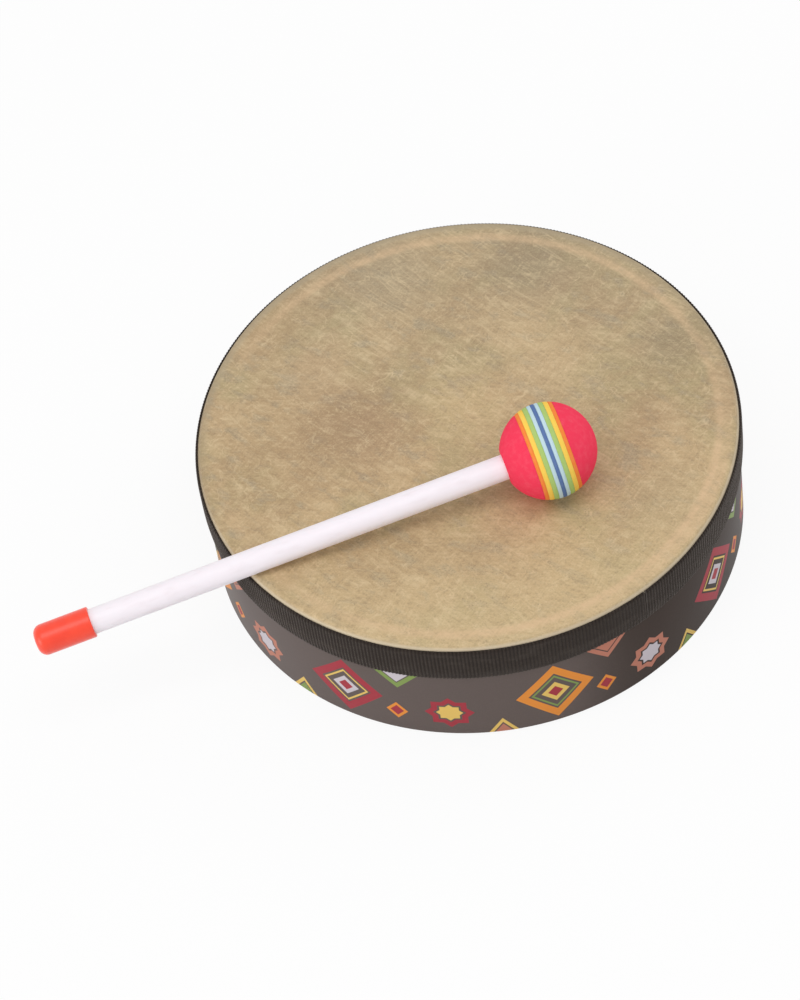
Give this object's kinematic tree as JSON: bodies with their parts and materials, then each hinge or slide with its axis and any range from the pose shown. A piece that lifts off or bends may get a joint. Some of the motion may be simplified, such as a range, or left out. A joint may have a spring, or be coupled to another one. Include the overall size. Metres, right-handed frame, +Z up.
{
  "type": "frame drum with mallet",
  "caption": "Shallow round frame drum with a film head, woven trim tape and printed wrap on a fibre hoop, with a striped foam ball mallet lying across the head.",
  "frame": {"origin": "centre of the drum's open lower edge, in the plane that it stands on", "axes": "+Z up the drum's axis to the head, +X along the lying mallet towards its ball"},
  "size_m": [0.2795, 0.2056, 0.0915],
  "materials": {
    "hoop_fibre": "matte",
    "wrap_film": "satin",
    "head_film": "satin",
    "tape_weave": "matte",
    "shaft_plastic": "satin",
    "cap_vinyl": "gloss",
    "foam_red": "matte",
    "foam_orange": "matte",
    "foam_yellow": "matte",
    "foam_green": "matte",
    "foam_sky": "matte",
    "foam_blue": "matte"
  },
  "bodies": {
    "drum": {"shell_hoop": "hoop_fibre", "printed_wrap": "wrap_film", "drum_head": "head_film", "trim_tape": "tape_weave"},
    "mallet": {"mallet_shaft": "shaft_plastic", "end_cap": "cap_vinyl", "foam_red_rear": "foam_red", "foam_orange_rear": "foam_orange", "foam_yellow_rear": "foam_yellow", "foam_green_rear": "foam_green", "foam_sky_rear": "foam_sky", "foam_blue_core": "foam_blue", "foam_sky_front": "foam_sky", "foam_green_front": "foam_green", "foam_yellow_front": "foam_yellow", "foam_orange_front": "foam_orange", "foam_red_front": "foam_red"}
  },
  "joints": [
    {"name": "mallet_lift", "type": "slide", "parent": "drum", "child": "mallet", "axis": [0, 0, 1], "range_m": [0, 0.12]}
  ]
}
